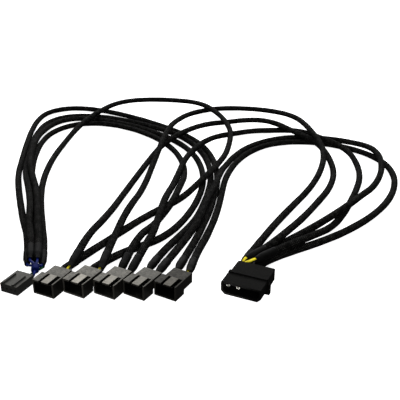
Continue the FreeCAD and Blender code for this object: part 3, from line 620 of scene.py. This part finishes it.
def line_of(name, route, rings):
    """Points along the smooth curve of a route."""
    mesh = curve_mesh(name, [route], 0.0, 0, rings)
    points = [v.co.copy() for v in mesh.vertices]
    bpy.data.meshes.remove(mesh)
    return points


def swell_at(point, coarse, fine, share):
    """A smooth uneven height from a coarse noise and a share of a finer one."""
    return noise.noise(point * coarse) + share * noise.noise(point * fine)


def spin(bm, outline, axis):
    """Spins a closed outline once round an axis, and returns the vertices that this adds."""
    before = set(bm.verts)
    corners = [bm.verts.new(point) for point in outline]
    edges = [bm.edges.new((a, b)) for a, b in zip(corners, corners[1:] + corners[:1])]
    bmesh.ops.spin(bm, geom=corners + edges, cent=(0, 0, 0), axis=axis, angle=2 * math.pi,
                   steps=SPIN_STEPS, use_merge=True)
    bmesh.ops.remove_doubles(bm, verts=[v for v in bm.verts if v not in before], dist=MERGE)
    return [v for v in bm.verts if v not in before]


def length_of(points):
    return sum((b - a).length for a, b in zip(points, points[1:]))


class Place:
    """Where a connector lies, from one of its mounts."""

    def __init__(self, matrix):
        self.matrix = matrix
        self.rear = matrix.to_3x3() @ Vector((0, 1, 0))

    @classmethod
    def at_mount(cls, name, local):
        mount = MOUNTS[name]
        rear = -Vector(mount["axis"])
        turn = Matrix((rear.cross(UP), rear, UP)).transposed()
        return cls(Matrix.Translation(Vector(mount["pos_m"]) - turn @ Vector(local)) @ turn.to_4x4())

    def point(self, x, y, z):
        return self.matrix @ Vector((x, y, z))


MOUNTS = {mount["name"]: mount for mount in frame["record"]["mounts"]}
SOCKETS = [Place.at_mount(f"fan_socket_{n}", (0, -SOCKET_BACK, SOCKET_MOUNT_Z)) for n in range(1, FANS + 1)]
HEADER = Place.at_mount("header_plug", (0, 0, HEADER_Z))
PLUG = Place.at_mount("power_plug_supply_pin", (PLUG_WAYS["supply"], -PLUG_PIN_MOUNT, PLUG_Z))
SPLICE = Place(Matrix.Translation((*SPLICE_AT, 0)) @ Matrix.Rotation(-math.radians(SPLICE_TURN), 4, "Z"))


def ends(route):
    """The two ends of a route, each with the direction that points out of the cable."""
    first, second, before, last = (Vector(route[n]) for n in (0, 1, -2, -1))
    return (first, (first - second).normalized()), (last, (last - before).normalized())


def sideways(outward):
    """Level, to the right of someone who looks along the cable from its end."""
    return -outward.cross(UP).normalized()


def above(outward):
    """Square to the cable, as near upward as that allows."""
    return outward.cross(sideways(outward)).normalized()


def cables():
    """Every cable's name and route."""
    for n, route in enumerate(POWER_ROUTES, 1):
        yield f"power_cable_{n}", route
    for n, route in enumerate(SIGNAL_ROUTES, 1):
        yield f"signal_cable_{n}", route


class CABLE_OT_sleeves(bpy.types.Operator):
    """Lays the ten braided cables along their routes"""
    bl_idname = "splitter.sleeves"
    bl_label = "Lay braided cables"

    def execute(self, context):
        settings = context.scene.splitter_sleeve
        material = braid_finish(settings)
        for name, route in cables():
            points = line_of(name, route, settings.rings)
            mesh = curve_mesh(name + "_braid", [route], settings.diameter / 2, settings.sides,
                              settings.rings)
            self.wind(mesh, length_of(points) / settings.pitch)
            self.soften(mesh, settings.unevenness)
            piece = settle(new_piece(name + "_braid", mesh), "braided_sleeve", material, name)
            CORDS.append((piece, name, points))
        return {"FINISHED"}

    @staticmethod
    def wind(mesh, turns):
        """Stretches the map along the cable, so that the braid keeps its pitch."""
        for corner in mesh.uv_layers[0].data:
            corner.uv = (corner.uv[0] * turns, corner.uv[1])

    @staticmethod
    def soften(mesh, height):
        """Swells and pinches the sleeve a little, as loose braid does."""
        for vertex in mesh.vertices:
            swell = swell_at(vertex.co, coarse=90, fine=260, share=0.5)
            vertex.co += vertex.normal * (swell * height)


class CABLE_OT_shrinks(bpy.types.Operator):
    """Shrinks a tube over each end of each cable"""
    bl_idname = "splitter.shrinks"
    bl_label = "Fit shrink tubes"

    def execute(self, context):
        material = shrink_finish("shrink_tube_finish", context.scene.splitter_shrink.colour)
        for name, route in cables():
            pair = name.startswith("power") or name == f"signal_cable_{TACH_CABLE}"
            bm = bmesh.new()
            for (end, outward), across in zip(ends(route), (sideways, above)):
                self.shrink(bm, context, end, outward, across(outward), pair)
            mesh = mesh_of(bm, name + "_shrink_tubes")
            settle(new_piece(name + "_shrink_tubes", mesh), "shrink_tube", material, name + "_shrinks")
        return {"FINISHED"}

    def shrink(self, bm, context, end, outward, across, pair):
        """One tube: spun from its section, drawn oval over a pair of wires and wrinkled."""
        shrink = context.scene.splitter_shrink
        sleeve = context.scene.splitter_sleeve.diameter / 2
        wide, lip = sleeve + shrink.wall, shrink.wall / 3
        neck = wide * (shrink.pair_taper if pair else shrink.taper)
        bore = neck - shrink.wall
        grip = shrink.on_sleeve
        section = [(sleeve, -grip), (wide - lip, -grip), (wide, -grip + lip)]
        for n in range(1, GRIP_RINGS):
            section.append((wide, -grip + lip + (grip - lip) * n / GRIP_RINGS))
        for n in range(NECK_RINGS + 1):
            share = n / NECK_RINGS
            ease = 0.5 - 0.5 * math.cos(math.pi * share)
            section.append((wide + (neck - wide) * ease, (shrink.neck - lip) * share))
        section += [(neck - lip, shrink.neck), (bore, shrink.neck), (bore, shrink.neck / 2), (sleeve, 0)]
        new = spin(bm, [(radius, 0, along) for radius, along in section], axis=(0, 0, 1))
        for vertex in new:
            self.draw_in(vertex, shrink, pair)
        frame_of = Matrix((across, outward.cross(across), outward)).transposed().to_4x4()
        bmesh.ops.transform(bm, matrix=Matrix.Translation(end) @ frame_of, verts=new)
        for vertex in new:
            radial = vertex.co - end - outward * (vertex.co - end).dot(outward)
            swell = swell_at(vertex.co, coarse=420, fine=900, share=0.6)
            vertex.co += radial.normalized() * (swell * shrink.wrinkle)
        bmesh.ops.recalc_face_normals(bm, faces=list({f for v in new for f in v.link_faces}))

    @staticmethod
    def draw_in(vertex, shrink, pair):
        """Draws the neck flat over two wires that lie side by side."""
        if not pair:
            return
        share = min(1.0, max(0.0, vertex.co.z / shrink.neck))
        vertex.co.y *= 1 - PAIR_FLATTEN * share * share * (3 - 2 * share)


class CABLE_OT_wires(bpy.types.Operator):
    """Leads the wires from the shrink tubes into the connectors"""
    bl_idname = "splitter.wires"
    bl_label = "Lead wires"

    def execute(self, context):
        settings = context.scene.splitter_wire
        self.diameter = settings.diameter
        self.neck = context.scene.splitter_shrink.neck
        self.finishes = {kind: insulation_finish(kind + "_insulation_finish", getattr(settings, kind))
                         for kind in ("supply", "ground", "pwm", "tach")}
        apart = self.diameter / 2 + PAIR_GAP / 2
        for n, route in enumerate(POWER_ROUTES):
            (fan, fan_out), (plug, plug_out) = ends(route)
            for kind, side, ring in (("supply", -apart, SUPPLY_RING[n]), ("ground", apart, GROUND_RING[n])):
                at_fan = self.to_socket(n, kind, fan + sideways(fan_out) * side, fan_out)
                x, z = self.ring_place(ring)
                at_plug = self.tail(plug - above(plug_out) * side, plug_out, PLUG, PLUG_WAYS[kind] + x,
                                    PLUG_Z + z, PLUG_REAR, PLUG_SEAT)
                self.lead(f"power_cable_{n + 1}_{kind}_wire", kind, at_fan, at_plug)
        for n, route in enumerate(SIGNAL_ROUTES):
            (fan, fan_out), (plug, plug_out) = ends(route)
            has_tach = n + 1 == TACH_CABLE
            side = apart if has_tach else 0.0
            x, z = self.ring_place(SIGNAL_RING[n])
            at_fan = self.to_socket(n, "pwm", fan - sideways(fan_out) * side, fan_out)
            at_plug = self.tail(plug + above(plug_out) * side, plug_out, SPLICE, x,
                                SPLICE_Z + z, SPLICE_LENGTH, SPLICE_SEAT)
            self.lead(f"signal_cable_{n + 1}_pwm_wire", "pwm", at_fan, at_plug)
            if has_tach:
                at_fan = self.to_socket(n, "tach", fan + sideways(fan_out) * side, fan_out)
                at_plug = self.tail(plug - above(plug_out) * side, plug_out, HEADER, HEADER_WAYS["tach"],
                                    HEADER_Z, HEADER_REAR, HEADER_SEAT, TACH_OVER)
                self.lead(f"signal_cable_{n + 1}_tach_wire", "tach", at_fan, at_plug)
        x = HEADER_WAYS["pwm"]
        self.lead("pwm_lead_wire", "pwm", [
            HEADER.point(x, HEADER_SEAT, HEADER_Z), HEADER.point(x, HEADER_REAR + SPLICE_LEAD, HEADER_Z),
            SPLICE.point(0, -SPLICE_LEAD, SPLICE_Z), SPLICE.point(0, SPLICE_SEAT, SPLICE_Z)])
        return {"FINISHED"}

    @staticmethod
    def ring_place(degrees):
        turn = math.radians(degrees)
        return WIRE_RING * math.cos(turn), WIRE_RING * math.sin(turn)

    def to_socket(self, n, way, start, outward):
        return self.tail(start, outward, SOCKETS[n], SOCKET_WAYS[way],
                         SOCKET_PIN_Z, SOCKET_REAR, SOCKET_SEAT)

    def tail(self, start, outward, place, x, z, rear, seat, over=None):
        """A wire from the sleeve's end to its crimp: out of the neck, across, and into its cavity."""
        points = [start, start + outward * self.neck, start + outward * (self.neck + WIRE_LEAD)]
        if over:
            points.append(place.point(over[0], rear + over[1], over[2]))
        return points + [place.point(x, y, z) for y in (rear + WIRE_LEAD, rear, seat)]

    def lead(self, node, kind, *routes):
        mesh = curve_mesh(node, routes, self.diameter / 2, WIRE_SIDES, WIRE_RINGS)
        mesh.shade_smooth()
        settle(new_piece(node + "_insulated", mesh), kind + "_insulation", self.finishes[kind], node)


class CABLE_OT_splice(bpy.types.Operator):
    """Slides a short shrink tube over the joint of the five signal wires"""
    bl_idname = "splitter.splice"
    bl_label = "Cover splice"

    def execute(self, context):
        shrink, wire = context.scene.splitter_shrink, context.scene.splitter_wire
        bore = WIRE_RING + wire.diameter / 2 + PAIR_GAP
        wide, lip, core = bore + shrink.wall, shrink.wall / 2, wire.diameter / 2
        section = [(core, 0), (wide - 3 * lip, 0), (wide - lip, lip), (wide, 3 * lip)]
        section += [(wide, SPLICE_LENGTH * n / SPLICE_RINGS) for n in range(2, SPLICE_RINGS)]
        section += [(wide, SPLICE_LENGTH - lip), (wide - lip, SPLICE_LENGTH), (bore, SPLICE_LENGTH)]
        section += [(bore, SPLICE_SEAT), (core, SPLICE_SEAT)]
        bm = bmesh.new()
        spin(bm, [(radius, along, 0) for radius, along in section], axis=(0, 1, 0))
        bmesh.ops.transform(bm, matrix=SPLICE.matrix @ Matrix.Translation((0, 0, SPLICE_Z)), verts=bm.verts)
        bmesh.ops.recalc_face_normals(bm, faces=bm.faces)
        material = shrink_finish("splice_tube_finish", lighter(wire.pwm, SPLICE_TINT))
        settle(new_piece("pwm_splice_cover", mesh_of(bm, "pwm_splice_cover")), "shrink_tube", material,
               "pwm_splice_sleeve")
        return {"FINISHED"}


def merged_copy(node):
    """A bmesh of a node's solids with their triangles joined into whole faces."""
    bm = bmesh.new()
    bm.from_mesh(frame["nodes"][node].data)
    bmesh.ops.remove_doubles(bm, verts=bm.verts, dist=SOLID_MERGE)
    bmesh.ops.dissolve_limit(bm, angle_limit=FLAT_ANGLE, verts=bm.verts, edges=bm.edges)
    return bm


def round_edges(bm, width):
    """Rounds every sharp edge a little, as a mould does."""
    edges = [e for e in bm.edges if len(e.link_faces) == 2 and e.calc_face_angle() > SHARP_EDGE]
    bmesh.ops.bevel(bm, geom=edges, offset=width, offset_type="OFFSET", affect="EDGES", segments=2,
                    profile=0.5, clamp_overlap=True, material=-1)


def moulded(node, name, edge, slot, material):
    """A node's solid with rounded edges, in its finish."""
    bm = merged_copy(node)
    round_edges(bm, edge)
    mesh = mesh_of(bm, name)
    mesh.set_sharp_from_angle(angle=SHARP_SHADING)
    piece = settle(new_piece(name, mesh), slot, material, node)
    even = piece.modifiers.new("Even shading", "WEIGHTED_NORMAL")
    even.keep_sharp = True


class CABLE_OT_housings(bpy.types.Operator):
    """Finishes the moulded housings of the seven connectors"""
    bl_idname = "splitter.housings"
    bl_label = "Finish housings"

    def execute(self, context):
        settings = context.scene.splitter_connector
        edge = settings.edge
        # Each socket has its own gain for the painted highlight on the latch tabs.
        for n, (place, highlight_gain, gloss) in enumerate(zip(SOCKETS, TAB_HIGHLIGHT_GAIN, SOCKET_GLOSS), 1):
            socket = plastic_finish(f"socket_{n}_plastic_finish", place, settings.socket, specular=gloss,
                                    roughness=0.24, grain=0.8, tab_highlight=lighter(settings.tab_highlight, highlight_gain))
            moulded(f"fan_socket_{n}_housing", f"fan_socket_{n}_shell", edge, "socket_plastic", socket)
        header = plastic_finish("header_plastic_finish", HEADER, settings.header, specular=0.28,
                                roughness=0.3, grain=0.5)
        moulded("header_plug_housing", "header_plug_shell", edge, "header_plastic", header)
        plug = plastic_finish("power_plug_plastic_finish", PLUG, settings.plug, specular=0.02,
                              roughness=0.42, grain=0.35)
        moulded("power_plug_housing", "power_plug_shell", edge, "power_plug_plastic", plug)
        return {"FINISHED"}


class CABLE_OT_contacts(bpy.types.Operator):
    """Finishes the tinned pins and contacts"""
    bl_idname = "splitter.contacts"
    bl_label = "Finish contacts"

    def execute(self, context):
        settings = context.scene.splitter_connector
        bright = contact_finish("tinned_contact_finish", settings.contact)
        # The fan sockets' pins get darkened tin: painted shade inside the sockets.
        pins_in_shade = contact_finish("shaded_pin_finish", lighter(settings.contact, FAN_PIN_SHADE))
        fine = settings.edge / CONTACTS_FINER
        for n in range(1, FANS + 1):
            moulded(f"fan_socket_{n}_pins", f"fan_socket_{n}_pins_dull", fine, "tinned_contact", pins_in_shade)
        moulded("header_plug_contacts", "header_plug_contacts_tinned", fine, "tinned_contact", bright)
        moulded("power_plug_pins", "power_plug_pins_tinned", settings.pin_edge, "tinned_contact", bright)
        return {"FINISHED"}


class CABLE_OT_cords(bpy.types.Operator):
    """Finds each cable's other pieces and measures its length, but keeps neither"""
    bl_idname = "splitter.cords"
    bl_label = "State cables"

    def execute(self, context):
        for piece, name, points in CORDS:
            on_it = [obj for obj in bpy.data.objects if obj.name.startswith(name + "_") and obj is not piece
                     and not obj.hide_render]
            length_of(points)
        return {"FINISHED"}


class CABLE_OT_stage(bpy.types.Operator):
    """Sets the white floor, the soft lights and the camera"""
    bl_idname = "splitter.stage"
    bl_label = "Set stage"

    def execute(self, context):
        settings = context.scene.splitter_stage
        self.floor(settings)
        self.light("top_softbox", settings.top_light,
                   at=(0.03, 0.12, 0.75), towards=(0.03, 0.12, 0.0), size=(1.3, 1.0))
        self.light("back_softbox", settings.back_light,
                   at=(0.03, 1.15, 0.55), towards=(0.03, 0.0, 0.0), size=(1.8, 0.7))
        self.light("front_glint", settings.front_light,
                   at=(0.05, -0.5, 0.2), towards=(0.04, 0.0, 0.0), size=(0.1, 0.1))
        pins = (PLUG_WAYS["supply"] + PLUG_WAYS["ground"]) / 2
        self.light("table_bounce", settings.bounce,
                   at=PLUG.point(pins, *BOUNCE_AT), towards=PLUG.point(pins, *BOUNCE_TO), size=BOUNCE_SIZE)
        self.surround(context, settings)
        data = bpy.data.cameras.new("camera")
        data.lens = settings.lens
        data.sensor_width = FRAME_WIDTH
        camera = new_piece("camera", data)
        camera.location = settings.camera_at
        camera.rotation_euler = (math.pi / 2 - settings.pitch, 0, 0)
        context.scene.camera = camera
        context.scene.view_settings.view_transform = "Standard"
        return {"FINISHED"}

    def floor(self, settings):
        bm = bmesh.new()
        bmesh.ops.create_grid(bm, x_segments=2, y_segments=2, size=settings.floor_size / 2)
        floor = new_piece("floor", mesh_of(bm, "floor"))
        floor.location.z = CAD_BOX[0][2] - FLOOR_DROP
        finish = Finish("pale_floor", Base_Color=(0.8, 0.8, 0.8), Roughness=0.9, Specular_IOR_Level=0.1,
                        Emission_Color=(1.0, 1.0, 1.0), Emission_Strength=settings.glow)
        floor.data.materials.append(finish.material)
        floor.visible_diffuse = False
        floor.visible_glossy = False

    @staticmethod
    def light(name, power, at, towards, size):
        data = bpy.data.lights.new(name, "AREA")
        data.shape = "RECTANGLE"
        data.size, data.size_y = size
        data.energy = power
        lamp = new_piece(name, data)
        lamp.location = at
        lamp.rotation_euler = (Vector(towards) - Vector(at)).to_track_quat("-Z", "Y").to_euler()

    @staticmethod
    def surround(context, settings):
        world = bpy.data.worlds.new("soft_surround")
        world.use_nodes = True
        tree = world.node_tree
        background = tree.nodes["Background"]
        background.inputs["Color"].default_value = (1, 1, 1, 1)
        path = tree.nodes.new("ShaderNodeLightPath")
        strength = tree.nodes.new("ShaderNodeMix")
        for socket, value in zip(MIX_VALUES, (settings.surround, 1.0)):
            strength.inputs[socket].default_value = value
        tree.links.new(path.outputs["Is Camera Ray"], strength.inputs[MIX_FACTOR])
        tree.links.new(strength.outputs[0], background.inputs["Strength"])
        context.scene.world = world


class CABLE_PT_panel(bpy.types.Panel):
    """Lists the steps that dress the cable"""
    bl_idname = "CABLE_PT_panel"
    bl_label = "Fan splitter cable"
    bl_space_type = "VIEW_3D"
    bl_region_type = "UI"
    bl_category = "Splitter"

    def draw(self, context):
        for step in STEPS:
            self.layout.operator(step.bl_idname)
        for name in SETTINGS:
            group = getattr(context.scene, name)
            for prop in group.__annotations__:
                self.layout.prop(group, prop)


CORDS = []
SETTINGS = {
    "splitter_sleeve": SleeveSettings,
    "splitter_shrink": ShrinkSettings,
    "splitter_wire": WireSettings,
    "splitter_connector": ConnectorSettings,
    "splitter_stage": StageSettings,
}
STEPS = [CABLE_OT_stage, CABLE_OT_sleeves, CABLE_OT_shrinks, CABLE_OT_wires, CABLE_OT_splice,
         CABLE_OT_housings, CABLE_OT_contacts, CABLE_OT_cords]


def register():
    for cls in (*SETTINGS.values(), *STEPS, CABLE_PT_panel):
        bpy.utils.register_class(cls)
    for name, group in SETTINGS.items():
        setattr(bpy.types.Scene, name, PointerProperty(type=group))


def unregister():
    for name in SETTINGS:
        delattr(bpy.types.Scene, name)
    for cls in (CABLE_PT_panel, *reversed(STEPS), *SETTINGS.values()):
        bpy.utils.unregister_class(cls)


def main():
    register()
    for step in STEPS:
        getattr(bpy.ops.splitter, step.bl_idname.split(".")[1])()


if __name__ == "__main__":
    main()
